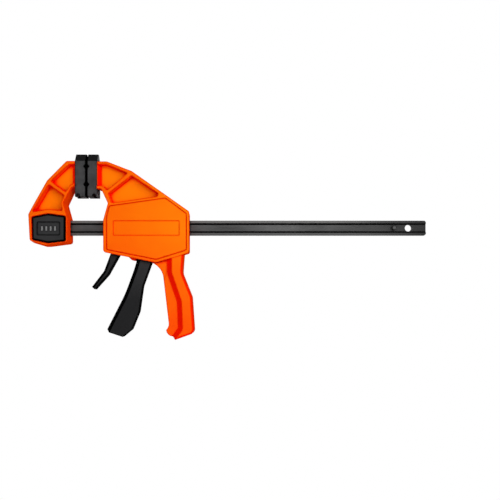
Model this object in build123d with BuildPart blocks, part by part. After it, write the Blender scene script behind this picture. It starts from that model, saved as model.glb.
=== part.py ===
"""Quick release bar clamp: a trigger-operated moving jaw on an I-section steel bar.

Frame, in millimetres: +X runs along the bar towards its free end, +Z points up from
the handle to the jaws, and the clamp's front faces -Y. The origin is the centre of
the moving pad's clamping face.
"""

import os
from math import cos, radians, sin, tan, tau

from build123d import *

# ---------------------------------------------------------------- driving dimensions
# Bar, and what is fitted to it
BAR_Z = -77.3
BAR_HEIGHT = 22.0
BAR_THICKNESS = 7.0
BAR_START = -76.0
BAR_END = 504.8
BAR_CORNER = 2.0
RECESS_DEPTH = 1.6
RECESS_MOUTH = 13.4
RECESS_FLOOR = 10.4
HANG_HOLE_X = 478.7
HANG_HOLE_RADIUS = 5.0
STOP_PIN_X = 456.5
STOP_PIN_RADIUS = 2.75
STOP_PIN_LENGTH = 18.0
LOCK_HOLE_X = -56.0
LOCK_HOLE_RADIUS = 3.2
BAR_CLEARANCE = 0.3
SOCKET_CLEARANCE = 0.1

# Mouldings: half thicknesses, draft and walls
BODY_HALF = 18.5
ARM_TIP_HALF = 13.0
ARM_TOP = 20.6
ARM_TAPER_START = -42.0
WEB_HALF = 1.5
JAW_DRAFT = 5.0
HOUSING_DRAFT = 2.0
WALL = 3.0

# Pads and the rails that carry them
PAD_THICKNESS = 15.0
FIXED_PAD_THICKNESS = 15.9
PAD_GAP = 2.1
PAD_SEAT_GAP = 0.05
PAD_HALF_WIDTH = 12.0
PAD_TOP = 32.8
PAD_SHOULDER = 21.5
PAD_BOTTOM = -31.4
PAD_RIDGE_HALF = 3.0
GROOVE_OFFSET = 13.35
GROOVE_DEPTH = 3.45
GROOVE_HALF = 4.6
GROOVE_LENGTH = 9.0
RAIL_HALF = 8.0
STEM_HALF = 4.0
STEM_LENGTH = 3.0
RAIL_ROOT = 2.5
END_WALL_DEPTH = 4.5
FLANGE_THICKNESS = 3.3
RAIL_TOP = 19.5
RAIL_BOTTOM = -15.0
RAIL_CLEARANCE = 0.15

# Release button and the lock that it works
BUTTON_FACE = -20.0
BUTTON_WALL = 3.2
BUTTON_SKIRT = -12.3
BUTTON_GAP = 1.1
BUTTON_ROUND = 3.0
BUTTON_FLOOR = -7.0
LOCK_PIN_RADIUS = 3.0
YOKE_REST = 7.5
YOKE_THICKNESS = 3.0
YOKE_HALF_WIDTH = 4.5
BUTTON_SPRINGS_X = (-70.0, -42.0)
BACK_COVER_THICKNESS = 2.5

# Trigger, drive plates and brake
TRIGGER_HALF = 10.0
TRIGGER_BEVEL = (6.0, 6.5)
TRIGGER_ROUND = 1.5
LEVER_BEVEL = (4.0, 4.0)
LEVER_ROUND = 1.2
FORK_GAP_HALF = 4.2
PIVOT_X = 94.0
PIVOT_Z = -51.0
PIVOT_RADIUS = 3.0
HUB_RADIUS = 6.5
NOSE_RADIUS = 6.0
SLOT_HALF = 10.4
PLATE_THICKNESS = 3.0
PLATE_HALF_WIDTH = 13.0
PLATE_HALF_HEIGHT = 19.0
DRIVE_PLATES_X = (100.1, 103.3)
BRAKE_X = 44.5
BRAKE_Z = -52.0
BRAKE_LEAN = 5.0
BRAKE_LENGTH = 52.0
BRAKE_HALF_WIDTH = 12.0
BRAKE_SLOT = 23.0
TANG_HALF_WIDTH = 6.0
TANG_LENGTH = 16.0
BRAKE_SPRING_Z = -96.5
COIL_STEPS = 16

# Handle
HANDLE_WEB_HALF = 11.0
PALM_HALF = 18.0
PALM_ROUND = 4.0
PALM_BEVEL = (7.5, 6.9)

# Cover screws: (along, up) of each, in the housing's corners
COVER_SCREWS = ((54.5, -50.5), (67.3, -110.5), (137.0, -57.8), (137.0, -103.5))
SCREW_RADIUS = 1.45
SCREW_HEAD_RADIUS = 3.0
SCREW_HEAD_DEPTH = 2.2

# ---------------------------------------------------------------- moulded outlines
# Corners seen from the front, as (along, up, corner radius)
ARM_END = PAD_THICKNESS + PAD_SEAT_GAP
HOUSING_OUTLINE = (
    (ARM_END, 20.6, 0), (29.6, 20.6, 4), (66.8, 6.0, 8), (152.0, -54.4, 4),
    (152.0, -115.2, 5), (103.0, -129.8, 12), (25.2, -114.3, 5), (25.2, -66.8, 6),
    (32.0, -42.2, 4), (21.6, -20.4, 3), (ARM_END, -20.4, 0),
)
COVER_OUTLINE = (
    (33.8, -46.2, 3), (116.8, -34.3, 5), (148.0, -57.6, 2), (148.0, -111.2, 3),
    (103.0, -125.3, 10), (30.0, -110.6, 2), (29.7, -63.0, 12),
)
ARM_POCKET = (
    (14.0, 16.6, 0), (28.4, 16.6, 3), (61.0, 3.2, 1.5), (30.4, -22.8, 2),
    (24.2, -16.2, 3), (14.0, -16.0, 0),
)
SHOULDER_POCKET = (
    (66.4, -0.4, 1), (106.8, -27.3, 3), (104.4, -32.4, 2), (37.3, -41.8, 2.5),
    (32.4, -27.4, 1.5),
)
JAW_OUTLINE = (
    (-18.2, 20.6, 0), (-30.0, 20.6, 3), (-58.1, -8.5, 3), (-85.2, -58.4, 4),
    (-83.1, -97.4, 4), (-61.0, -104.0, 8), (-27.6, -99.6, 4), (-27.6, -64.5, 4),
    (-34.0, -41.5, 4), (-22.8, -18.6, 3), (-18.2, -16.0, 0),
)
JAW_TOP_POCKET = (
    (-17.0, 16.6, 0), (-26.2, 16.6, 3), (-53.4, -9.0, 2), (-30.6, -25.6, 2),
    (-23.8, -14.4, 3), (-17.0, -12.4, 0),
)
JAW_LOW_POCKET = (
    (-56.0, -13.6, 2), (-80.4, -55.6, 2), (-56.1, -51.0, 10), (-34.2, -53.6, 2),
    (-37.4, -42.6, 5), (-32.4, -30.4, 2),
)
BUTTON_OPENING = (
    (-80.7, -61.9, 3), (-56.1, -57.2, 8), (-29.8, -60.8, 3), (-29.8, -98.6, 3),
    (-56.1, -101.4, 8), (-79.9, -96.6, 3),
)
FINGER_OUTLINE = (
    (79.0, -104.0, 0), (68.9, -139.0, 150), (55.3, -176.0, 200), (28.6, -228.4, 0),
    (32.0, -233.3, 0), (52.5, -240.0, 1.5), (66.2, -228.6, 3), (77.0, -202.0, 20),
    (82.4, -164.0, 20), (97.4, -123.0, 6), (93.6, -104.0, 0),
)
LEVER_OUTLINE = (
    (36.2, -104.5, 0), (35.2, -112.7, 0), (24.2, -141.8, 6), (6.2, -165.3, 0),
    (10.8, -168.9, 0), (30.2, -147.3, 12), (50.4, -111.0, 8), (50.6, -104.5, 0),
)
PALM_OUTLINE = (
    (118.9, -112.0, 0), (118.9, -145.5, 15), (133.4, -187.5, 15), (135.1, -226.5, 6),
    (126.6, -237.6, 0), (131.0, -244.0, 0), (159.2, -233.9, 8), (155.6, -180.4, 15),
    (141.4, -144.7, 15), (143.7, -112.0, 0),
)


def side(y):
    """Plane that looks along +Y at the clamp's side, at depth y."""
    return Plane.XZ.offset(-y)


def closed_outline(corners):
    """Fill the outline through corners given as (along, up, radius)."""
    points = [(along, up) for along, up, _ in corners]
    radii = [radius for *_, radius in corners]
    with BuildLine() as outline:
        FilletPolyline(*points, radius=radii, close=True)
    make_face(outline.edges())


def block(x_range, y_range, z_range, mode=Mode.ADD):
    """Add or cut a block between two values on each axis."""
    spans = [high - low for low, high in (x_range, y_range, z_range)]
    middle = [(low + high) / 2 for low, high in (x_range, y_range, z_range)]
    with Locations(Vector(*middle)):
        Box(*spans, mode=mode)


def bevel_sides(part, bevel, chosen):
    """Bevel the edges of both side faces whose centre (x, z) is chosen, as (width, depth)."""
    width, depth = bevel
    for index in (0, -1):
        face = part.faces().filter_by(Axis.Y).sort_by(Axis.Y)[index]
        edges = face.edges().filter_by(lambda edge: chosen(edge.center().X, edge.center().Z))
        part.part = part.part.chamfer(width, depth, edges, face)


def round_sides(part, radius, chosen):
    """Round the edges of both side faces whose centre (x, z) is chosen."""
    edges = part.faces().filter_by(Axis.Y).edges()
    edges = edges.filter_by(lambda edge: chosen(edge.center().X, edge.center().Z))
    part.part = part.part.fillet(radius, edges)


def cross_rod(x, z, radius, y_range, mode=Mode.ADD):
    """Add or cut a round rod that runs across the clamp."""
    front, rear = y_range
    with Locations((x, (front + rear) / 2, z)):
        Cylinder(radius, rear - front, rotation=(90, 0, 0), mode=mode)


def thin_arm_towards_pad(low):
    """Trim an arm so that its faces close in from the body to the pad."""
    with BuildPart() as envelope:
        with BuildSketch(Plane.YZ):
            Polygon(
                (-BODY_HALF, low), (BODY_HALF, low), (BODY_HALF, ARM_TAPER_START),
                (ARM_TIP_HALF, ARM_TOP + 0.5), (-ARM_TIP_HALF, ARM_TOP + 0.5),
                (-BODY_HALF, ARM_TAPER_START), align=None,
            )
        extrude(amount=200, both=True)
    add(envelope.part, mode=Mode.INTERSECT)


def side_pockets(corners):
    """Cut the same pocket from both faces, down to the central web."""
    for face in (-1, 1):
        with BuildPart() as pocket:
            with BuildSketch(side(face * BODY_HALF)):
                closed_outline(corners)
            extrude(amount=face * (BODY_HALF - WEB_HALF))
        add(pocket.part, mode=Mode.SUBTRACT)


def pad_rail(arm_face, outward):
    """Add the tee rail that a pad slides onto, outward (+1 or -1) from an arm's end."""
    root = arm_face - outward * RAIL_ROOT
    stem_end = arm_face + outward * STEM_LENGTH
    flange_end = stem_end + outward * FLANGE_THICKNESS
    block(sorted((root, stem_end)), (-STEM_HALF, STEM_HALF), (RAIL_BOTTOM, RAIL_TOP))
    block(sorted((stem_end, flange_end)), (-RAIL_HALF, RAIL_HALF), (RAIL_BOTTOM, RAIL_TOP))


def end_wall(arm_face, inward, low):
    """Close the pockets at an arm's end with a wall that slopes down to the web."""
    foot = arm_face + inward * END_WALL_DEPTH
    with BuildPart() as wall:
        with BuildSketch(Plane.XY.offset(low)):
            Polygon(
                (arm_face, -ARM_TIP_HALF), (arm_face, ARM_TIP_HALF), (foot, WEB_HALF),
                (foot, -WEB_HALF), align=None,
            )
        extrude(amount=RAIL_TOP - 1.5 - low)
    add(wall.part)


def bar_channel(x_range, clearance):
    """Cut the rectangular way that the bar runs in."""
    half_y = BAR_THICKNESS / 2 + clearance
    half_z = BAR_HEIGHT / 2 + clearance
    block(x_range, (-half_y, half_y), (BAR_Z - half_z, BAR_Z + half_z), Mode.SUBTRACT)


def clamping_pad(face_x, outward, thickness):
    """Make a soft pad whose clamping face is at face_x and whose back lies outward."""
    back_x = face_x + outward * thickness
    slot_half = RAIL_HALF + RAIL_CLEARANCE
    stem_half = STEM_HALF + RAIL_CLEARANCE
    flange_back = back_x - outward * (STEM_LENGTH - RAIL_CLEARANCE)
    flange_front = back_x - outward * (STEM_LENGTH + FLANGE_THICKNESS + RAIL_CLEARANCE)
    slot_z = (PAD_BOTTOM, RAIL_TOP + RAIL_CLEARANCE)
    with BuildPart() as pad:
        with BuildSketch(Plane.YZ.offset(face_x)):
            Polygon(
                (-PAD_HALF_WIDTH, PAD_BOTTOM), (PAD_HALF_WIDTH, PAD_BOTTOM),
                (PAD_HALF_WIDTH, PAD_SHOULDER), (PAD_RIDGE_HALF, PAD_TOP),
                (-PAD_RIDGE_HALF, PAD_TOP), (-PAD_HALF_WIDTH, PAD_SHOULDER), align=None,
            )
        extrude(amount=outward * thickness)
        fillet(pad.edges().filter_by(Axis.X), 1.0)
        chamfer(pad.faces().sort_by(Axis.X)[0 if outward > 0 else -1].edges(), 0.4)
        # Crosswise V notches in the front half, which hold round stock
        for height in (-GROOVE_OFFSET, GROOVE_OFFSET):
            with BuildSketch(side(GROOVE_LENGTH - PAD_HALF_WIDTH)):
                Polygon(
                    (face_x - outward * 0.5, height - GROOVE_HALF - 0.5),
                    (face_x + outward * GROOVE_DEPTH, height),
                    (face_x - outward * 0.5, height + GROOVE_HALF + 0.5), align=None,
                )
            extrude(amount=GROOVE_LENGTH, mode=Mode.SUBTRACT)
        # Tee slot, open at the bottom, with an arched notch in front
        block(sorted((flange_front, flange_back)), (-slot_half, slot_half), slot_z, Mode.SUBTRACT)
        block(sorted((flange_back, back_x)), (-stem_half, stem_half), slot_z, Mode.SUBTRACT)
        with BuildSketch(Plane.XZ):
            with Locations(((flange_front + flange_back) / 2, PAD_BOTTOM)):
                SlotOverall(9.0, 5.0, rotation=90)
        extrude(amount=PAD_HALF_WIDTH, mode=Mode.SUBTRACT)
    return pad


def coil_spring(start, axis, length, mean_radius, wire_radius, turns):
    """Make a coil spring of six-sided wire, wound in short straight steps."""
    steps = COIL_STEPS * turns
    with BuildPart() as spring:
        with BuildLine(Plane(origin=start, z_dir=axis)):
            winding = Polyline(*[
                (
                    mean_radius * cos(tau * step / COIL_STEPS),
                    mean_radius * sin(tau * step / COIL_STEPS),
                    length * step / steps,
                )
                for step in range(steps + 1)
            ])
        with BuildSketch(Plane(origin=winding @ 0, z_dir=winding % 0)):
            RegularPolygon(wire_radius, 6)
        sweep(transition=Transition.RIGHT)
    return spring


def rear_screw(x, z, head_seat, tip):
    """Add one pan head screw, driven from the rear, to the part being built."""
    cross_rod(x, z, SCREW_RADIUS, (tip, head_seat))
    cross_rod(x, z, SCREW_HEAD_RADIUS, (head_seat, head_seat + SCREW_HEAD_DEPTH))
    recess = (head_seat + 0.8, head_seat + SCREW_HEAD_DEPTH)
    block((x - 1.8, x + 1.8), recess, (z - 0.4, z + 0.4), Mode.SUBTRACT)
    block((x - 0.4, x + 0.4), recess, (z - 1.8, z + 1.8), Mode.SUBTRACT)


# ---------------------------------------------------------------- bar
with BuildPart() as bar:
    with BuildSketch(side(-BAR_THICKNESS / 2)):
        with Locations(((BAR_START + BAR_END) / 2, BAR_Z)):
            Rectangle(BAR_END - BAR_START, BAR_HEIGHT)
    extrude(amount=-BAR_THICKNESS)
    chamfer(bar.edges().filter_by(Axis.Y), BAR_CORNER)
    # Rolled recess along both faces, which leaves an I section
    for face in (-1, 1):
        outer = face * BAR_THICKNESS / 2
        inner = face * (BAR_THICKNESS / 2 - RECESS_DEPTH)
        with BuildSketch(Plane.YZ.offset(BAR_START)):
            Polygon(
                (outer, BAR_Z - RECESS_MOUTH / 2), (outer, BAR_Z + RECESS_MOUTH / 2),
                (inner, BAR_Z + RECESS_FLOOR / 2), (inner, BAR_Z - RECESS_FLOOR / 2), align=None,
            )
        extrude(amount=BAR_END - BAR_START, mode=Mode.SUBTRACT)
    through = (-BAR_THICKNESS, BAR_THICKNESS)
    cross_rod(HANG_HOLE_X, BAR_Z, HANG_HOLE_RADIUS, through, Mode.SUBTRACT)
    cross_rod(STOP_PIN_X, BAR_Z, STOP_PIN_RADIUS, through, Mode.SUBTRACT)
    cross_rod(LOCK_HOLE_X, BAR_Z, LOCK_HOLE_RADIUS, through, Mode.SUBTRACT)

with BuildPart() as bar_stop_pin:
    cross_rod(STOP_PIN_X, BAR_Z, STOP_PIN_RADIUS, (-STOP_PIN_LENGTH / 2, STOP_PIN_LENGTH / 2))
    chamfer(bar_stop_pin.edges().filter_by(GeomType.CIRCLE), 0.6)

# ---------------------------------------------------------------- fixed jaw
FIXED_PAD_FACE = -PAD_GAP
JAW_END = FIXED_PAD_FACE - FIXED_PAD_THICKNESS - PAD_SEAT_GAP
LEG_X = (LOCK_HOLE_X - YOKE_HALF_WIDTH, LOCK_HOLE_X + YOKE_HALF_WIDTH)
UPPER_LEG_Z = (-65.0, -62.2)
LOWER_LEG_Z = (-92.4, -89.6)
REAR_RECESS_X = (-70.0, -42.0)
REAR_RECESS_Z = (-96.0, -59.5)
BACK_COVER_X = (-79.5, -32.5)
BACK_COVER_Z = (-97.5, -58.0)
BACK_COVER_SCREWS_X = (-75.0, -37.0)
COVER_SEAT = BODY_HALF - BACK_COVER_THICKNESS
LEG_CLEARANCE = 0.3

with BuildPart() as fixed_jaw:
    # The walls are drafted both ways from a parting line at mid depth
    with BuildSketch(side(-BODY_HALF)):
        closed_outline(JAW_OUTLINE)
    extrude(amount=-BODY_HALF, taper=-JAW_DRAFT)
    mirror(about=Plane.XZ)
    thin_arm_towards_pad(-120)
    block((JAW_END, 0), (-BODY_HALF, BODY_HALF), (-40, 40), Mode.SUBTRACT)
    side_pockets(JAW_TOP_POCKET)
    side_pockets(JAW_LOW_POCKET)
    # Sloped sill under the lower pockets
    with BuildSketch(Plane.YZ.offset(-78.5)):
        Polygon(
            (-BODY_HALF, -57.5), (-WEB_HALF, -50.5), (WEB_HALF, -50.5), (BODY_HALF, -57.5),
            (0, -62.0), align=None,
        )
    extrude(amount=44.0)
    end_wall(JAW_END, -1, -13.5)
    pad_rail(JAW_END, 1)
    # Button opening at the front, and the lock's recess at the rear
    with BuildSketch(side(-BODY_HALF - 1)):
        closed_outline(BUTTON_OPENING)
    extrude(amount=-BODY_HALF - 1 - BUTTON_FLOOR, mode=Mode.SUBTRACT)
    block(REAR_RECESS_X, (YOKE_REST - 0.3, BODY_HALF), REAR_RECESS_Z, Mode.SUBTRACT)
    block(BACK_COVER_X, (COVER_SEAT, BODY_HALF), BACK_COVER_Z, Mode.SUBTRACT)
    bar_channel((BAR_START - SOCKET_CLEARANCE, 0), SOCKET_CLEARANCE)
    for low, high in (UPPER_LEG_Z, LOWER_LEG_Z):
        block(
            (LEG_X[0] - LEG_CLEARANCE, LEG_X[1] + LEG_CLEARANCE), (BUTTON_FLOOR - 1, BODY_HALF - 4),
            (low - LEG_CLEARANCE, high + LEG_CLEARANCE), Mode.SUBTRACT,
        )
    cross_rod(LOCK_HOLE_X, BAR_Z, LOCK_PIN_RADIUS + 0.1, (0, BODY_HALF), Mode.SUBTRACT)
    for x in BACK_COVER_SCREWS_X:
        cross_rod(x, BAR_Z, SCREW_RADIUS, (COVER_SEAT - 9, COVER_SEAT), Mode.SUBTRACT)

with BuildPart() as release_button:
    with BuildSketch(side(BUTTON_FACE)):
        closed_outline(BUTTON_OPENING)
        offset(amount=-BUTTON_GAP)
    extrude(amount=BUTTON_FACE - BUTTON_SKIRT)
    fillet(release_button.faces().sort_by(Axis.Y)[0].edges(), BUTTON_ROUND)
    # Hollow behind the cap, with a finger recess in front
    with BuildSketch(side(BUTTON_SKIRT)):
        closed_outline(BUTTON_OPENING)
        offset(amount=-BUTTON_GAP - 2.0)
    extrude(amount=BUTTON_SKIRT - BUTTON_FACE - BUTTON_WALL, mode=Mode.SUBTRACT)
    with BuildSketch(side(BUTTON_FACE)):
        with Locations((-55.2, -79.6)):
            RectangleRounded(34.4, 20.2, 2.2)
    extrude(amount=-0.9, taper=20, mode=Mode.SUBTRACT)
    # Sockets that hold the yoke's legs
    socket_y = (BUTTON_FACE + BUTTON_WALL, BUTTON_SKIRT)
    for low, high in (UPPER_LEG_Z, LOWER_LEG_Z):
        block((LEG_X[0] - 2, LEG_X[1] + 2), socket_y, (low - 1.6, high + 1.6))
        block(LEG_X, socket_y, (low, high), Mode.SUBTRACT)

with BuildPart() as lock_yoke:
    yoke_z = (LOWER_LEG_Z[0], UPPER_LEG_Z[1])
    block(LEG_X, (YOKE_REST, YOKE_REST + YOKE_THICKNESS), yoke_z)
    for leg_z in (UPPER_LEG_Z, LOWER_LEG_Z):
        block(LEG_X, (BUTTON_FACE + BUTTON_WALL, YOKE_REST), leg_z)
    cross_rod(LOCK_HOLE_X, BAR_Z, YOKE_HALF_WIDTH + 1.5, (YOKE_REST, YOKE_REST + YOKE_THICKNESS))
    cross_rod(LOCK_HOLE_X, BAR_Z, LOCK_PIN_RADIUS, (0, BODY_HALF), Mode.SUBTRACT)

with BuildPart() as lock_pin:
    cross_rod(LOCK_HOLE_X, BAR_Z, LOCK_PIN_RADIUS, (-1.8, YOKE_REST + YOKE_THICKNESS))
    chamfer(lock_pin.faces().sort_by(Axis.Y)[0].edges(), 0.6)

BUTTON_WIRE = 0.45
button_spring_seat = BUTTON_FLOOR - BUTTON_WIRE - 0.05
button_spring_length = button_spring_seat - BUTTON_FACE - BUTTON_WALL - BUTTON_WIRE - 0.05
with BuildPart() as button_springs:
    for x in BUTTON_SPRINGS_X:
        add(coil_spring((x, button_spring_seat, BAR_Z), (0, -1, 0), button_spring_length,
                        3.2, BUTTON_WIRE, 4).part)

with BuildPart() as jaw_back_cover:
    with BuildSketch(side(BODY_HALF)):
        with Locations((sum(BACK_COVER_X) / 2, sum(BACK_COVER_Z) / 2)):
            Rectangle(BACK_COVER_X[1] - BACK_COVER_X[0] - 0.4, BACK_COVER_Z[1] - BACK_COVER_Z[0] - 0.4)
    extrude(amount=BACK_COVER_THICKNESS)
    for x in BACK_COVER_SCREWS_X:
        cross_rod(x, BAR_Z, SCREW_RADIUS + 0.15, (COVER_SEAT, BODY_HALF), Mode.SUBTRACT)
        cross_rod(x, BAR_Z, SCREW_HEAD_RADIUS + 0.2, (COVER_SEAT + 1.0, BODY_HALF), Mode.SUBTRACT)

with BuildPart() as back_cover_screws:
    for x in BACK_COVER_SCREWS_X:
        rear_screw(x, BAR_Z, COVER_SEAT + 1.0, COVER_SEAT - 8)

# ---------------------------------------------------------------- pads
moving_pad = clamping_pad(0, 1, PAD_THICKNESS)
fixed_pad = clamping_pad(FIXED_PAD_FACE, -1, FIXED_PAD_THICKNESS)

# ---------------------------------------------------------------- housing with handle
COVER_THICKNESS = 3.0
COVER_BACK = -BODY_HALF + COVER_THICKNESS
REAR_WALL = BODY_HALF - WALL
RIB_X = (60.0, 63.0)
LEVER_SLOT_X = (31.5, 60.0)
TRIGGER_SLOT_X = (72.0, 118.6)
HANDLE_TOP = -112.0

with BuildPart() as palm:
    with BuildSketch(Plane.XZ):
        closed_outline(PALM_OUTLINE)
    extrude(amount=PALM_HALF, both=True)
    # Rounded edges behind, and a broad slope down to the web in front
    round_sides(palm, PALM_ROUND, lambda x, z: x > 140 and -228 < z < HANDLE_TOP - 1)
    bevel_sides(palm, PALM_BEVEL, lambda x, z: x < 136 and -226 < z < HANDLE_TOP - 1)

with BuildPart() as housing:
    with BuildSketch(side(-BODY_HALF)):
        closed_outline(HOUSING_OUTLINE)
    extrude(amount=-2 * BODY_HALF, taper=HOUSING_DRAFT)
    thin_arm_towards_pad(-140)
    side_pockets(ARM_POCKET)
    side_pockets(SHOULDER_POCKET)
    end_wall(ARM_END, 1, -17.5)
    # Handle: a front web, and the thicker palm behind it
    with BuildSketch(Plane.XZ):
        with BuildLine():
            Polyline((96.0, HANDLE_TOP), (96.0, -129.2), (98.5, -130.7))
            brow = ThreePointArc((98.5, -130.7), (108.8, -139.8), (113.4, -153.5))
            shin = Line(brow @ 1, (120.8, -217.0))
            hook = ThreePointArc(shin @ 1, (120.3, -224.6), (117.2, -229.4))
            lip = ThreePointArc(hook @ 1, (119.4, -234.9), (128.0, -239.0))
            Polyline(lip @ 1, (131.5, -242.6), (140.0, -225.0), (140.0, -190.0), (130.0, -150.0),
                     (130.0, HANDLE_TOP), (96.0, HANDLE_TOP))
        make_face()
    extrude(amount=HANDLE_WEB_HALF, both=True)
    add(palm.part)
    # Stop for the trigger, between the two slots in the floor
    with BuildSketch(Plane.XZ):
        Polygon((61.5, -118.0), (61.5, -121.0), (66.0, -125.4), (72.0, -126.4), (72.0, -118.0), align=None)
    extrude(amount=SLOT_HALF, both=True)
    # Cavity for the mechanism, with a ledge that the front cover sits on
    with BuildSketch(side(-BODY_HALF)):
        closed_outline(COVER_OUTLINE)
    extrude(amount=-COVER_THICKNESS, mode=Mode.SUBTRACT)
    with BuildSketch(side(COVER_BACK)):
        closed_outline(COVER_OUTLINE)
        offset(amount=-1.0)
    extrude(amount=COVER_BACK - REAR_WALL, mode=Mode.SUBTRACT)
    # Rib that guides the bar and backs the brake spring, and the brake plate's fulcrum
    inside = (COVER_BACK + 0.1, REAR_WALL)
    block(RIB_X, inside, (-119.0, -40.0))
    block((BRAKE_X - 7.0, BRAKE_X - 2.3), inside, (-56.0, -43.0))
    block((BRAKE_X + 2.4, BRAKE_X + 5.5), inside, (-56.0, -43.0))
    # Bosses for the cover screws and the trigger pin
    for x, z in COVER_SCREWS:
        cross_rod(x, z, 4.0, (-10.0, REAR_WALL))
    cross_rod(PIVOT_X, PIVOT_Z, PIVOT_RADIUS + 2.5, (TRIGGER_HALF + 0.3, REAR_WALL))
    for x, z in COVER_SCREWS:
        cross_rod(x, z, SCREW_RADIUS + 0.2, (-10.0, BODY_HALF), Mode.SUBTRACT)
        cross_rod(x, z, SCREW_HEAD_RADIUS + 0.5, (REAR_WALL, BODY_HALF), Mode.SUBTRACT)
    cross_rod(PIVOT_X, PIVOT_Z, PIVOT_RADIUS, (TRIGGER_HALF, REAR_WALL - 1.5), Mode.SUBTRACT)
    bar_channel((0, 160), BAR_CLEARANCE)
    # Floor slots for the release lever and the trigger
    block(LEVER_SLOT_X, (-SLOT_HALF, SLOT_HALF), (-125.0, -105.0), Mode.SUBTRACT)
    with BuildSketch(Plane.XZ):
        Polygon(
            (TRIGGER_SLOT_X[0], -100.0), (TRIGGER_SLOT_X[0], -140.0), (96.0, -140.0),
            (100.0, -158.0), (114.4, -156.0), (116.8, -150.0), (TRIGGER_SLOT_X[1], -133.0),
            (TRIGGER_SLOT_X[1], -100.0), align=None,
        )
    extrude(amount=SLOT_HALF, both=True, mode=Mode.SUBTRACT)
    pad_rail(ARM_END, -1)

with BuildPart() as front_cover:
    with BuildSketch(side(-BODY_HALF)):
        closed_outline(COVER_OUTLINE)
        offset(amount=-0.25)
    extrude(amount=-COVER_THICKNESS)
    chamfer(front_cover.faces().sort_by(Axis.Y)[0].edges(), 0.5)
    # Shallow plain panel on the face
    with BuildSketch(side(-BODY_HALF)):
        with Locations((88.6, -78.8)):
            RectangleRounded(97.6, 21.8, 1.0)
    extrude(amount=-0.6, mode=Mode.SUBTRACT)
    for x, z in COVER_SCREWS:
        cross_rod(x, z, 4.0, (COVER_BACK, -10.2))
        cross_rod(x, z, SCREW_RADIUS + 0.05, (COVER_BACK + 0.5, -10.0), Mode.SUBTRACT)
    cross_rod(PIVOT_X, PIVOT_Z, PIVOT_RADIUS + 2.5, (COVER_BACK, -TRIGGER_HALF - 0.3))
    cross_rod(PIVOT_X, PIVOT_Z, PIVOT_RADIUS, (COVER_BACK + 1.0, -TRIGGER_HALF), Mode.SUBTRACT)

with BuildPart() as cover_screws:
    for x, z in COVER_SCREWS:
        rear_screw(x, z, REAR_WALL, COVER_BACK + 1.0)

# ---------------------------------------------------------------- trigger and drive
with BuildPart() as trigger:
    # Finger grip, with a broad slope on its front edges
    with BuildSketch(Plane.XZ):
        closed_outline(FINGER_OUTLINE)
    extrude(amount=TRIGGER_HALF, both=True)
    bevel_sides(trigger, TRIGGER_BEVEL, lambda x, z: -230.5 < z < -105 and x - z / 2 < 146)
    round_sides(trigger, TRIGGER_ROUND, lambda x, z: z < -231 or z < -112 and x - z / 2 > 154)
    # Fork that straddles the bar, with the hub above and the nose that pushes the drive plates
    with BuildSketch(Plane.XZ):
        Polygon((86.0, -54.0), (79.0, -104.0), (93.6, -104.0), (93.6, -54.0), align=None)
        with Locations((PIVOT_X, PIVOT_Z)):
            Circle(HUB_RADIUS)
        with Locations((PIVOT_X, BAR_Z)):
            Circle(NOSE_RADIUS)
    extrude(amount=TRIGGER_HALF, both=True)
    block((70, 110), (-FORK_GAP_HALF, FORK_GAP_HALF), (-93.0, -40.0), Mode.SUBTRACT)
    cross_rod(PIVOT_X, PIVOT_Z, PIVOT_RADIUS + 0.06, (-BODY_HALF, BODY_HALF), Mode.SUBTRACT)

with BuildPart() as trigger_pin:
    cross_rod(PIVOT_X, PIVOT_Z, PIVOT_RADIUS - 0.02, (COVER_BACK + 1.1, REAR_WALL - 1.6))
    chamfer(trigger_pin.edges().filter_by(GeomType.CIRCLE), 0.4)

drive_plates = []
for plate_x in DRIVE_PLATES_X:
    with BuildPart() as drive_plate:
        with BuildSketch(Plane.YZ.offset(plate_x)):
            with Locations((0, BAR_Z)):
                RectangleRounded(2 * PLATE_HALF_WIDTH, 2 * PLATE_HALF_HEIGHT, 2.0)
                Rectangle(BAR_THICKNESS + 0.7, BAR_HEIGHT + 0.8, mode=Mode.SUBTRACT)
        extrude(amount=PLATE_THICKNESS)
    drive_plates.append(drive_plate)

DRIVE_WIRE = 1.1
drive_spring_start = DRIVE_PLATES_X[1] + PLATE_THICKNESS + DRIVE_WIRE + 0.1
drive_spring = coil_spring(
    (drive_spring_start, 0, BAR_Z), (1, 0, 0), 146.8 - DRIVE_WIRE - drive_spring_start, 13.0, DRIVE_WIRE, 6,
)

# ---------------------------------------------------------------- brake and its lever
# The plate hangs from its fulcrum with its foot leaning away from the handle
lean = radians(BRAKE_LEAN)
along_plate = Plane(origin=(BRAKE_X, 0, BRAKE_Z), x_dir=(0, 1, 0), z_dir=(cos(lean), 0, -sin(lean)))
with BuildPart() as brake_plate:
    with BuildSketch(along_plate.offset(-PLATE_THICKNESS / 2)):
        with Locations((0, -BRAKE_LENGTH / 2)):
            Rectangle(2 * BRAKE_HALF_WIDTH, BRAKE_LENGTH)
        with Locations((0, -BRAKE_LENGTH - TANG_LENGTH / 2)):
            Rectangle(2 * TANG_HALF_WIDTH, TANG_LENGTH)
        with Locations((0, (BAR_Z - BRAKE_Z) / cos(lean))):
            Rectangle(BAR_THICKNESS + 0.8, BRAKE_SLOT, mode=Mode.SUBTRACT)
    extrude(amount=PLATE_THICKNESS)
    # Rounded top edge, which rocks in the fulcrum
    cross_rod(BRAKE_X, BRAKE_Z, PLATE_THICKNESS / 2, (-BRAKE_HALF_WIDTH, BRAKE_HALF_WIDTH))

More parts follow.
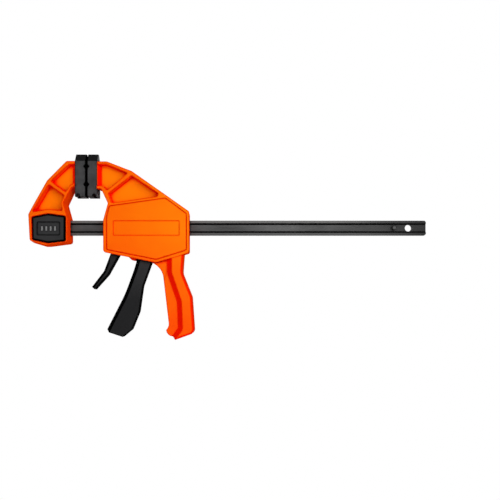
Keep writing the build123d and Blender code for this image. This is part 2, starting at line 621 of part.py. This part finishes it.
with BuildPart() as release_lever:
    with BuildSketch(Plane.XZ):
        closed_outline(LEVER_OUTLINE)
    extrude(amount=TRIGGER_HALF, both=True)
    bevel_sides(release_lever, LEVER_BEVEL, lambda x, z: z < -112 and x - 0.65 * z < 116.5)
    round_sides(release_lever, LEVER_ROUND, lambda x, z: z < -112 and x - 0.65 * z > 119)
    # Slot moulded round the plate's tang
    with BuildSketch(along_plate.offset(-PLATE_THICKNESS / 2)):
        with Locations((0, -BRAKE_LENGTH - TANG_LENGTH / 2)):
            Rectangle(2 * TANG_HALF_WIDTH, TANG_LENGTH)
        with Locations((0, -BRAKE_LENGTH / 2)):
            Rectangle(2 * BRAKE_HALF_WIDTH, BRAKE_LENGTH)
    extrude(amount=PLATE_THICKNESS, mode=Mode.SUBTRACT)

BRAKE_WIRE = 0.6
plate_face_x = BRAKE_X + (PLATE_THICKNESS / 2) / cos(lean) - (BRAKE_Z - BRAKE_SPRING_Z) * tan(lean)
brake_spring_start = plate_face_x + BRAKE_WIRE + 0.5
brake_spring = coil_spring(
    (brake_spring_start, 0, BRAKE_SPRING_Z), (1, 0, 0),
    RIB_X[0] - BRAKE_WIRE - 0.1 - brake_spring_start, 3.8, BRAKE_WIRE, 6,
)

# ---------------------------------------------------------------- export
pieces = {
    "bar": bar,
    "bar_stop_pin": bar_stop_pin,
    "fixed_jaw": fixed_jaw,
    "release_button": release_button,
    "lock_yoke": lock_yoke,
    "lock_pin": lock_pin,
    "button_springs": button_springs,
    "jaw_back_cover": jaw_back_cover,
    "back_cover_screws": back_cover_screws,
    "fixed_pad": fixed_pad,
    "moving_pad": moving_pad,
    "housing": housing,
    "front_cover": front_cover,
    "cover_screws": cover_screws,
    "trigger": trigger,
    "trigger_pin": trigger_pin,
    "drive_plate_1": drive_plates[0],
    "drive_plate_2": drive_plates[1],
    "drive_spring": drive_spring,
    "brake_plate": brake_plate,
    "release_lever": release_lever,
    "brake_spring": brake_spring,
}
os.makedirs("parts", exist_ok=True)
for name, piece in pieces.items():
    piece.part.label = name
    export_step(piece.part, f"parts/{name}.step")
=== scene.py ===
"""Looks of the quick release bar clamp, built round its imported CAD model.

Metres. +X runs along the bar, +Z points up from the handle to the jaws and the
clamp's front faces -Y. The origin is the centre of the moving pad's clamping face.
Colours are written as the 0 to 255 numbers of screen colours.
"""

from math import pi

import bmesh
import bpy
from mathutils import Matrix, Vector


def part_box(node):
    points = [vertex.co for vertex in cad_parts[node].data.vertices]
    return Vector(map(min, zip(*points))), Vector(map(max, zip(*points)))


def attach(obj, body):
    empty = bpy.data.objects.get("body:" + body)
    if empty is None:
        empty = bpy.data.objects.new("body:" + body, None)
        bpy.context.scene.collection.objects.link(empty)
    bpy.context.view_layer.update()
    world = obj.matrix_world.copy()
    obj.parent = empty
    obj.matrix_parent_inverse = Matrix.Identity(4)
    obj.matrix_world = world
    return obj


MM = 0.001
WHITE = (1.0, 1.0, 1.0, 1.0)

# Camera: the photograph's viewing angle
CAMERA_PLACE = (0.21946, -1.050, -0.1849)
FOCAL_PIXELS = 700.0
FRAME_PIXELS = 500.0
SENSOR = 36.0
SHIFT = (0.03, 0.10)

# Lamps, all aimed at one point: name, place, edge length and power
LAMP_TARGET = (0.06, 0.0, -0.10)
LAMPS = (
    ("key", (0.48, -0.98, 0.14), 0.8, 7.1),
    ("side", (0.95, -0.55, 0.15), 0.5, 1.6),
    ("fill", (-0.45, -0.85, -0.70), 0.8, 4.6),
    ("back", (-0.10, 1.10, 0.35), 0.8, 8.0),
)
# The even light of the world
AMBIENT = 0.30

FLOOR_Z = -0.62
FLOOR_SIZE = 14.0
# The floor is lit and shadowed round this place, and turns plain white between these distances
SHADOW_PLACE = (0.15, -0.15, FLOOR_Z)
SHADOW_FADE = (0.30, 0.62)

# Most of a noise's values lie between these. The narrower pair gives a stronger contrast
NOISE_RANGE = (0.3, 0.7)
STRONG_RANGE = (0.35, 0.65)

# Edges take the light as if they were rounded by this much
MOULDED_ROUND = 2.6 * MM
BLACK_ROUND = 0.8 * MM
PAD_ROUND = 1.5 * MM
BAR_ROUND = 0.6 * MM

# Creases, where shade is painted: how far round a point they are felt, the openness below which
# a place takes all the painted crease shade, and the openness above which it is clear of them
WIDE_CREASE = (8.0 * MM, 0.47, 0.82)
PAD_CREASE = (8.0 * MM, 0.45, 0.92)
BAR_CREASE = (6.0 * MM, 0.45, 0.85)
STEEL_CREASE = (1.5 * MM, 0.35, 0.85)
# Narrow ones are felt this far. Each moulded look says below which openness it takes all the painted
# crease shade
NARROW_REACH = 2.5 * MM

# A face's facing is 1 at the front and back and 0 at the sides. It counts as a slope as its
# facing falls through the first range, and slopes get a painted shade, a deeper colour. Through
# the second it turns to a side, which has only this share of a slope's painted shade
SLOPE_FACING = (0.91, 0.998)
SIDE_FACING = (0.10, 0.35)
SIDE_DEPTH = 0.6

# Painted shade: moulded colours deepen to the left and down the handle, where less light falls:
# place from and to, and the share of the dark colour at each. Soft patches take that share up and down
# by the mottle
SHADE_ALONG = (0.02, 0.15, 0.55, 0.0)
SHADE_DOWN = (-0.23, -0.08, 0.95, 0.0)
MOTTLE = 0.08

# Painted light: pocket floors and webs are lighter this near the middle plane, and where they slope
# less than this
WEB_LIGHT_DEPTH = (4.0 * MM, 7.0 * MM)
WEB_SLOPE = 0.3

# The gloss of moulded faces is gone where their slope reaches this
DULL_SLOPE = 0.6

# Painted shade: the pads turn from black to dark grey between these distances from the middle of their
# gap
PAD_GAP_SHADE = (1.6 * MM, 2.6 * MM)

# Bar, by height from its middle: where the web gives way to the flanges, where the painted light
# of the upper flange starts, and the painted shade lines in the recess corners (low, high, softness)
FLANGE_HEIGHT = (6.6 * MM, 7.0 * MM)
UPPER_HEIGHT = (0.0, 1.0 * MM)
CORNER_SHADE_LINES = (4.6 * MM, 7.35 * MM, 0.2 * MM)
# and by place along it: where the upper flange's painted light stops, and how painted shade
# darkens the whole bar towards its free end
UPPER_LIT_UNTIL = (0.37, 0.44)
END_SHADE = (0.40, 0.50, 0.0, 0.9)
# Painted shade in the bar's creases and recess corners
BAR_PAINTED_SHADE = (6, 6, 6)

# Grip bars in the button's recessed panel, which is set off from the button's middle
PANEL_OFFSET_X = 0.05 * MM
PANEL_OFFSET_Z = -0.3 * MM
PANEL_DEPTH = 0.9 * MM
GRIP_BARS = 4
GRIP_PITCH = 6.4 * MM
GRIP_SIZE = (2.6 * MM, 1.2 * MM, 6.4 * MM)
GRIP_CORNER = 0.35 * MM

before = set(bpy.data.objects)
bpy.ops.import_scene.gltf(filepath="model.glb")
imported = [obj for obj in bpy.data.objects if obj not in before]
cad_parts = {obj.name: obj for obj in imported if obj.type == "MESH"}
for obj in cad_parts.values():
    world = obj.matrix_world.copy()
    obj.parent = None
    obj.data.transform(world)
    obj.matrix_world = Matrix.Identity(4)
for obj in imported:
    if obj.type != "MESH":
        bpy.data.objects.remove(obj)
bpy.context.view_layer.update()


# ---------------------------------------------------------------- materials
def linear(red, green, blue):
    """A linear colour from the 0 to 255 numbers of a screen colour."""
    channels = [c / 255 for c in (red, green, blue)]
    return [c / 12.92 if c <= 0.04045 else ((c + 0.055) / 1.055) ** 2.4 for c in channels] + [1.0]


class Graph:
    """A material's node tree, with short calls for the nodes used here."""

    def __init__(self, name):
        self.material = bpy.data.materials.new(name)
        self.material.use_nodes = True
        self.nodes = self.material.node_tree.nodes
        self.links = self.material.node_tree.links
        self.shader = self.nodes["Principled BSDF"]
        self.place = self.nodes.new("ShaderNodeTexCoord").outputs["Object"]

    def put(self, target, value):
        """Link an output to an input, or set the input to a plain value."""
        if isinstance(value, bpy.types.NodeSocket):
            self.links.new(value, target)
        else:
            target.default_value = value

    def coordinate(self, axis, vector=None):
        """One coordinate of a vector, or of the place on the object."""
        parts = self.nodes.new("ShaderNodeSeparateXYZ")
        self.links.new(vector or self.place, parts.inputs["Vector"])
        return parts.outputs[axis]

    def stretched(self, scale):
        """The place on the object, scaled along each axis."""
        mapping = self.nodes.new("ShaderNodeMapping")
        mapping.inputs["Scale"].default_value = scale
        self.links.new(self.place, mapping.inputs["Vector"])
        return mapping.outputs["Vector"]

    def noise(self, scale, detail=2.0, rough=0.5, vector=None):
        """Smooth noise with about this many features to the metre."""
        node = self.nodes.new("ShaderNodeTexNoise")
        self.links.new(vector or self.place, node.inputs["Vector"])
        node.inputs["Scale"].default_value = scale
        node.inputs["Detail"].default_value = detail
        node.inputs["Roughness"].default_value = rough
        return node.outputs["Fac"]

    def cells(self, scale):
        """Distance to the nearest cell centre: a fine pebbled grain."""
        node = self.nodes.new("ShaderNodeTexVoronoi")
        self.links.new(self.place, node.inputs["Vector"])
        node.inputs["Scale"].default_value = scale
        return node.outputs["Distance"]

    def spread(self, value, low, high, to_low=0.0, to_high=1.0):
        """Map a value from one range to another, held within it."""
        node = self.nodes.new("ShaderNodeMapRange")
        self.put(node.inputs["Value"], value)
        for socket, number in zip(("From Min", "From Max", "To Min", "To Max"),
                                  (low, high, to_low, to_high)):
            node.inputs[socket].default_value = number
        return node.outputs["Result"]

    def vary(self, noise, at_low=0.0, at_high=1.0):
        """Map a noise's usual range to another."""
        return self.spread(noise, *NOISE_RANGE, at_low, at_high)

    def combine(self, operation, first, second=0.0):
        """Arithmetic on two values, or on the first alone."""
        node = self.nodes.new("ShaderNodeMath")
        node.operation = operation
        self.put(node.inputs[0], first)
        self.put(node.inputs[1], second)
        return node.outputs["Value"]

    def band(self, value, low, high, soft):
        """1 where a value lies between two limits, with soft ends."""
        rise = self.spread(value, low - soft, low + soft)
        fall = self.spread(value, high - soft, high + soft, 1.0, 0.0)
        return self.combine("MULTIPLY", rise, fall)

    def blend(self, amount, first, second):
        """Mix two colours: outputs, or the 0 to 255 numbers of screen colours."""
        node = self.nodes.new("ShaderNodeMix")
        node.data_type = "RGBA"
        self.put(node.inputs["Factor"], amount)
        for socket, colour in (("A", first), ("B", second)):
            target = next(s for s in node.inputs if s.name == socket and s.type == "RGBA")
            self.put(target, linear(*colour) if isinstance(colour, tuple) else colour)
        return next(s for s in node.outputs if s.type == "RGBA")

    def clear_of_creases(self, reach, closed, open_from):
        """0 in creases and 1 in the open, by how much room there is within reach; the mask of painted
        crease shade.
        """
        node = self.nodes.new("ShaderNodeAmbientOcclusion")
        node.samples = 8
        node.inputs["Distance"].default_value = reach
        return self.spread(node.outputs["AO"], closed, open_from)

    def soft_edges(self, radius):
        """Normal that turns smoothly over the solid's sharp edges."""
        node = self.nodes.new("ShaderNodeBevel")
        node.samples = 6
        node.inputs["Radius"].default_value = radius
        return node.outputs["Normal"]

    def slope(self, normal):
        """1 on slopes and rounded edges, 0 on front and back faces, SIDE_DEPTH on the sides: the share
        of painted slope shade.
        """
        facing = self.combine("ABSOLUTE", self.coordinate("Y", normal))
        return self.combine("MULTIPLY", self.spread(facing, *SLOPE_FACING, 1.0, 0.0),
                            self.spread(facing, *SIDE_FACING, SIDE_DEPTH, 1.0))

    def relief(self, height, depth, strength, normal=None):
        """Bump of this real depth."""
        node = self.nodes.new("ShaderNodeBump")
        node.inputs["Strength"].default_value = strength
        node.inputs["Distance"].default_value = depth
        self.links.new(height, node.inputs["Height"])
        if normal is not None:
            self.links.new(normal, node.inputs["Normal"])
        return node.outputs["Normal"]

    def surface(self, colour, roughness, normal=None, metallic=0.0, specular=0.5, shine=None):
        """Connect the finished surface; shine is the share of the specular level at each point."""
        self.put(self.shader.inputs["Base Color"], colour)
        self.put(self.shader.inputs["Roughness"], roughness)
        self.shader.inputs["Metallic"].default_value = metallic
        # The level is multiplied in last, where the glTF exporter looks for a plain factor
        level = specular if shine is None else self.combine("MULTIPLY", shine, specular)
        self.put(self.shader.inputs["Specular IOR Level"], level)
        if normal is not None:
            self.links.new(normal, self.shader.inputs["Normal"])
        return self.material


def moulded_plastic(name, light, dark, web_painted_light, slope_shade, crease_shade, narrow_closed,
                    roughness, specular, grain, edge):
    """Satin moulded plastic: mottled, with painted shade to the left, down the handle, on slopes and
    in creases, painted light on pocket floors and webs, and a spark-eroded grain.
    """
    graph = Graph(name)
    rounded = graph.soft_edges(edge)
    slope = graph.slope(rounded)
    # Painted shade: lit and shaded copies of the colour, darker to the left and down the handle
    shade = graph.combine("ADD", graph.spread(graph.coordinate("X"), *SHADE_ALONG),
                          graph.spread(graph.coordinate("Z"), *SHADE_DOWN))
    mottle = graph.spread(graph.noise(22.0, detail=3.0), *STRONG_RANGE, -MOTTLE, MOTTLE)
    faces = graph.blend(graph.combine("ADD", shade, mottle), light, dark)
    # Painted light: pocket floors and webs near the middle plane take a lighter colour
    from_middle_plane = graph.combine("ABSOLUTE", graph.coordinate("Y"))
    web = graph.combine("MULTIPLY", graph.spread(slope, 0.0, WEB_SLOPE, 1.0, 0.0),
                        graph.spread(from_middle_plane, *WEB_LIGHT_DEPTH, 1.0, 0.0))
    # Painted shade: slopes, rounded edges and sides take a deeper colour
    slope_shaded = graph.blend(slope, graph.blend(web, faces, web_painted_light), slope_shade)
    # Painted shade: creases take the crease colour
    clear = graph.combine("MINIMUM", graph.clear_of_creases(*WIDE_CREASE),
                          graph.clear_of_creases(NARROW_REACH, narrow_closed, 1.0))
    colour = graph.blend(clear, crease_shade, slope_shaded)
    fine = graph.noise(2600.0, detail=3.0, rough=0.6)
    rub = graph.noise(60.0, detail=4.0, rough=0.6)
    rough = graph.combine("ADD", graph.vary(fine, -0.03, 0.03),
                          graph.vary(rub, roughness - 0.04, roughness + 0.05))
    waves = graph.relief(graph.noise(110.0, detail=1.0), depth=0.05 * MM, strength=0.5, normal=rounded)
    pebble = graph.combine("ADD", fine, graph.cells(1500.0))
    bumps = graph.relief(pebble, depth=grain, strength=0.6, normal=waves)
    shine = graph.spread(slope, 0.0, DULL_SLOPE, 1.0, 0.0)
    return graph.surface(colour, rough, bumps, specular=specular, shine=shine)


def soft_rubber(gap_middle):
    """Matt rubber with a fine pebble and a few pale scuffs, with painted shade on slopes, in creases
    and towards the clamping faces, where it turns black.
    """
    graph = Graph("pad_rubber_look")
    rounded = graph.soft_edges(PAD_ROUND)
    specks = graph.noise(420.0, detail=5.0, rough=0.7, vector=graph.stretched((1.0, 1.0, 0.35)))
    scuff = graph.spread(specks, 0.62, 0.80, 0.0, 0.5)
    mottle = graph.vary(graph.noise(70.0, detail=3.0))
    scuffed = graph.blend(scuff, graph.blend(mottle, (55, 55, 56), (72, 72, 73)), (92, 92, 92))
    # Painted shade: the pads' slopes and rounded edges are darker
    slope_shaded = graph.blend(graph.slope(rounded), scuffed, (9, 9, 9))
    # Painted shade: black towards the gap between the pads and in creases
    from_gap = graph.combine("ABSOLUTE", graph.combine("SUBTRACT", graph.coordinate("X"), gap_middle))
    clear = graph.combine("MINIMUM", graph.clear_of_creases(*PAD_CREASE),
                          graph.spread(from_gap, *PAD_GAP_SHADE))
    colour = graph.blend(clear, (3, 3, 3), slope_shaded)
    pebble = graph.combine("ADD", graph.cells(1100.0), graph.noise(2400.0, detail=3.0))
    bumps = graph.relief(pebble, depth=0.05 * MM, strength=0.7, normal=rounded)
    rough = graph.vary(graph.noise(300.0, detail=3.0), 0.58, 0.72)
    return graph.surface(colour, rough, bumps, specular=0.06, shine=clear)


def rolled_steel(centre):
    """Blackened steel bar, drawn lengthwise, with lighter flanges: painted shade in the recess
    corners, in creases and towards the free end, and painted light on the upper flange.
    """
    graph = Graph("bar_steel_look")
    drawn = graph.noise(1.0, vector=graph.stretched((16.0, 320.0, 320.0)))
    patches = graph.noise(1.0, detail=3.0, rough=0.55, vector=graph.stretched((12.0, 30.0, 30.0)))
    tone = graph.combine("ADD", graph.vary(drawn, 0.0, 0.3),
                         graph.spread(patches, *STRONG_RANGE, 0.0, 0.7))
    along = graph.coordinate("X")
    height = graph.combine("SUBTRACT", graph.coordinate("Z"), centre)
    from_centre = graph.combine("ABSOLUTE", height)
    web = graph.blend(tone, (60, 60, 60), (92, 92, 92))
    # Painted light: the upper flange is lighter than the lower one, fading along the bar
    upper = graph.blend(graph.spread(along, *UPPER_LIT_UNTIL), (104, 103, 102), (74, 74, 74))
    lit_flanges = graph.blend(graph.spread(height, *UPPER_HEIGHT), (80, 80, 80), upper)
    streaks = graph.combine("MULTIPLY", tone, 0.3)
    flanges = graph.blend(streaks, lit_flanges, web)
    faces = graph.blend(graph.spread(from_centre, *FLANGE_HEIGHT), web, flanges)
    # Painted shade: dark lines in the recess corners and in creases
    corner_shade = graph.band(from_centre, *CORNER_SHADE_LINES)
    clear = graph.clear_of_creases(*BAR_CREASE)
    lined = graph.blend(clear, BAR_PAINTED_SHADE, graph.blend(corner_shade, faces, BAR_PAINTED_SHADE))
    # Painted shade: the whole bar darkens towards its free end
    colour = graph.blend(graph.spread(along, *END_SHADE), lined, (24, 24, 24))
    rough = graph.combine("ADD", graph.vary(patches, 0.52, 0.44), graph.vary(drawn, -0.04, 0.04))
    bumps = graph.relief(drawn, depth=0.008 * MM, strength=0.3, normal=graph.soft_edges(BAR_ROUND))
    shine = graph.combine("MULTIPLY", clear, graph.spread(corner_shade, 0.0, 1.0, 1.0, 0.0))
    return graph.surface(colour, rough, bumps, specular=0.10, shine=shine)


def plated_steel(name, light, dark, roughness):
    """Small steel pieces: turned or stamped, with a fine directionless haze and painted shade in their
    creases.
    """
    graph = Graph(name)
    haze = graph.noise(500.0, detail=4.0, rough=0.6)
    faces = graph.blend(graph.vary(haze), light, dark)
    # Painted shade in creases
    colour = graph.blend(graph.clear_of_creases(*STEEL_CREASE), (50, 48, 46), faces)
    rough = graph.vary(graph.noise(900.0, detail=3.0), roughness, roughness + 0.12)
    bumps = graph.relief(haze, depth=0.02 * MM, strength=0.4)
    return graph.surface(colour, rough, bumps, metallic=0.9)


def grip_bar_grey():
    """Light grey moulded plastic of the bars on the button."""
    graph = Graph("button_mark_look")
    colour = graph.blend(graph.vary(graph.noise(900.0, detail=3.0)), (106, 106, 106), (128, 128, 128))
    rough = graph.vary(graph.noise(600.0), 0.5, 0.62)
    bumps = graph.relief(graph.noise(2600.0, detail=3.0), depth=0.03 * MM, strength=0.5)
    return graph.surface(colour, rough, bumps, specular=0.3)


pads_gap_middle = (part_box("fixed_pad")[1][0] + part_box("moving_pad")[0][0]) / 2
bar_centre = sum(corner[2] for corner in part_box("bar")) / 2
looks = {
    # Moulded looks: the light and dark colours are painted lit and shaded copies, and the slope,
    # crease and web colours are painted shade and painted light
    "orange_plastic": moulded_plastic(
        "orange_plastic_look", light=(255, 122, 0), dark=(255, 80, 0), web_painted_light=(255, 134, 0),
        slope_shade=(255, 24, 0), crease_shade=(245, 10, 0), narrow_closed=0.60,
        roughness=0.48, specular=0.03, grain=0.03 * MM, edge=MOULDED_ROUND),
    "black_plastic": moulded_plastic(
        "black_plastic_look", light=(64, 64, 65), dark=(28, 28, 29), web_painted_light=(60, 60, 61),
        slope_shade=(6, 6, 6), crease_shade=(4, 4, 4), narrow_closed=0.88,
        roughness=0.54, specular=0.06, grain=0.04 * MM, edge=BLACK_ROUND),
    "pad_rubber": soft_rubber(pads_gap_middle),
    "bar_steel": rolled_steel(bar_centre),
    "bright_steel": plated_steel(
        "bright_steel_look", light=(196, 196, 198), dark=(168, 168, 172), roughness=0.26),
    "plate_steel": plated_steel(
        "plate_steel_look", light=(120, 119, 117), dark=(94, 93, 92), roughness=0.38),
    "spring_steel": plated_steel(
        "spring_steel_look", light=(150, 150, 154), dark=(122, 122, 126), roughness=0.30),
}
stop_pin_look = plated_steel("stop_pin_look", light=(64, 64, 64), dark=(50, 50, 50), roughness=0.42)

for name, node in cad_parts.items():
    slot = node.data.materials[0].name.split(".")[0]
    node.data.materials.clear()
    node.data.materials.append(stop_pin_look if name == "bar_stop_pin" else looks[slot])


# ---------------------------------------------------------------- grip bars on the button
def rounded_bar(mesh, centre, size, corner):
    """Add a block with rounded edges to a mesh."""
    made = bmesh.ops.create_cube(mesh, size=1.0)["verts"]
    bmesh.ops.scale(mesh, verts=made, vec=size)
    bmesh.ops.translate(mesh, verts=made, vec=centre)
    edges = list(dict.fromkeys(edge for vert in made for edge in vert.link_edges))
    bmesh.ops.bevel(mesh, geom=edges, offset=corner, segments=3, profile=0.5, affect="EDGES")


button_low, button_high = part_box("release_button")
panel_x = (button_low[0] + button_high[0]) / 2 + PANEL_OFFSET_X
panel_y = button_low[1] + PANEL_DEPTH
panel_z = (button_low[2] + button_high[2]) / 2 + PANEL_OFFSET_Z
bars_mesh = bmesh.new()
for index in range(GRIP_BARS):
    bar_x = panel_x + (index - (GRIP_BARS - 1) / 2) * GRIP_PITCH
    rounded_bar(bars_mesh, (bar_x, panel_y, panel_z), GRIP_SIZE, GRIP_CORNER)
grip_data = bpy.data.meshes.new("button_grip_bars")
bars_mesh.to_mesh(grip_data)
bars_mesh.free()
grip_data.materials.append(grip_bar_grey())
grip_bars = bpy.data.objects.new("button_grip_bars", grip_data)
bpy.context.scene.collection.objects.link(grip_bars)
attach(grip_bars, "button")


# ---------------------------------------------------------------- light, floor and camera
def white_for_camera(tree, strength_input):
    """Strength 1, plain white, for rays that see the background, and AMBIENT for the rest."""
    rays = tree.nodes.new("ShaderNodeLightPath")
    seen = rays.outputs["Is Camera Ray"]
    for kind in ("Is Glossy Ray", "Is Transmission Ray"):
        either = tree.nodes.new("ShaderNodeMath")
        either.operation = "MAXIMUM"
        tree.links.new(seen, either.inputs[0])
        tree.links.new(rays.outputs[kind], either.inputs[1])
        seen = either.outputs["Value"]
    strength = tree.nodes.new("ShaderNodeMapRange")
    strength.inputs["To Min"].default_value = AMBIENT
    strength.inputs["To Max"].default_value = 1.0
    tree.links.new(seen, strength.inputs["Value"])
    tree.links.new(strength.outputs["Result"], strength_input)


def floor_look():
    """Pale floor that takes the clamp's shadow, and turns as white as the background further off."""
    graph = Graph("floor_look")
    colour = graph.blend(graph.vary(graph.noise(3.0)), (250, 250, 250), (254, 254, 254))
    graph.surface(colour, roughness=0.8, specular=0.1)
    distance = graph.nodes.new("ShaderNodeVectorMath")
    distance.operation = "DISTANCE"
    graph.links.new(graph.place, distance.inputs[0])
    distance.inputs[1].default_value = SHADOW_PLACE
    glow = graph.nodes.new("ShaderNodeEmission")
    glow.inputs["Color"].default_value = WHITE
    white_for_camera(graph.material.node_tree, glow.inputs["Strength"])
    mixed = graph.nodes.new("ShaderNodeMixShader")
    graph.links.new(graph.spread(distance.outputs["Value"], *SHADOW_FADE), mixed.inputs["Fac"])
    graph.links.new(graph.shader.outputs["BSDF"], mixed.inputs[1])
    graph.links.new(glow.outputs["Emission"], mixed.inputs[2])
    graph.links.new(mixed.outputs["Shader"], graph.nodes["Material Output"].inputs["Surface"])
    return graph.material


world = bpy.data.worlds.new("studio")
bpy.context.scene.world = world
world.use_nodes = True
background = world.node_tree.nodes["Background"]
background.inputs["Color"].default_value = WHITE
white_for_camera(world.node_tree, background.inputs["Strength"])

for name, place, edge, power in LAMPS:
    lamp = bpy.data.lights.new(name, "AREA")
    lamp.shape = "SQUARE"
    lamp.size = edge
    lamp.energy = power
    holder = bpy.data.objects.new(name, lamp)
    bpy.context.scene.collection.objects.link(holder)
    holder.location = place
    holder.rotation_euler = (Vector(LAMP_TARGET) - Vector(place)).to_track_quat("-Z", "Y").to_euler()

half = FLOOR_SIZE / 2
floor_corners = [(x * half, y * half, FLOOR_Z) for x, y in ((-1, -1), (1, -1), (1, 1), (-1, 1))]
floor_mesh = bpy.data.meshes.new("floor")
floor_mesh.from_pydata(floor_corners, [], [(0, 1, 2, 3)])
floor_mesh.materials.append(floor_look())
floor = bpy.data.objects.new("floor", floor_mesh)
bpy.context.scene.collection.objects.link(floor)

lens = bpy.data.cameras.new("camera")
lens.sensor_width = SENSOR
lens.lens = SENSOR * FOCAL_PIXELS / FRAME_PIXELS
lens.shift_x, lens.shift_y = SHIFT
camera = bpy.data.objects.new("camera", lens)
bpy.context.scene.collection.objects.link(camera)
camera.location = CAMERA_PLACE
camera.rotation_euler = (pi / 2, 0.0, 0.0)
bpy.context.scene.camera = camera

bpy.context.scene.view_settings.view_transform = "Standard"
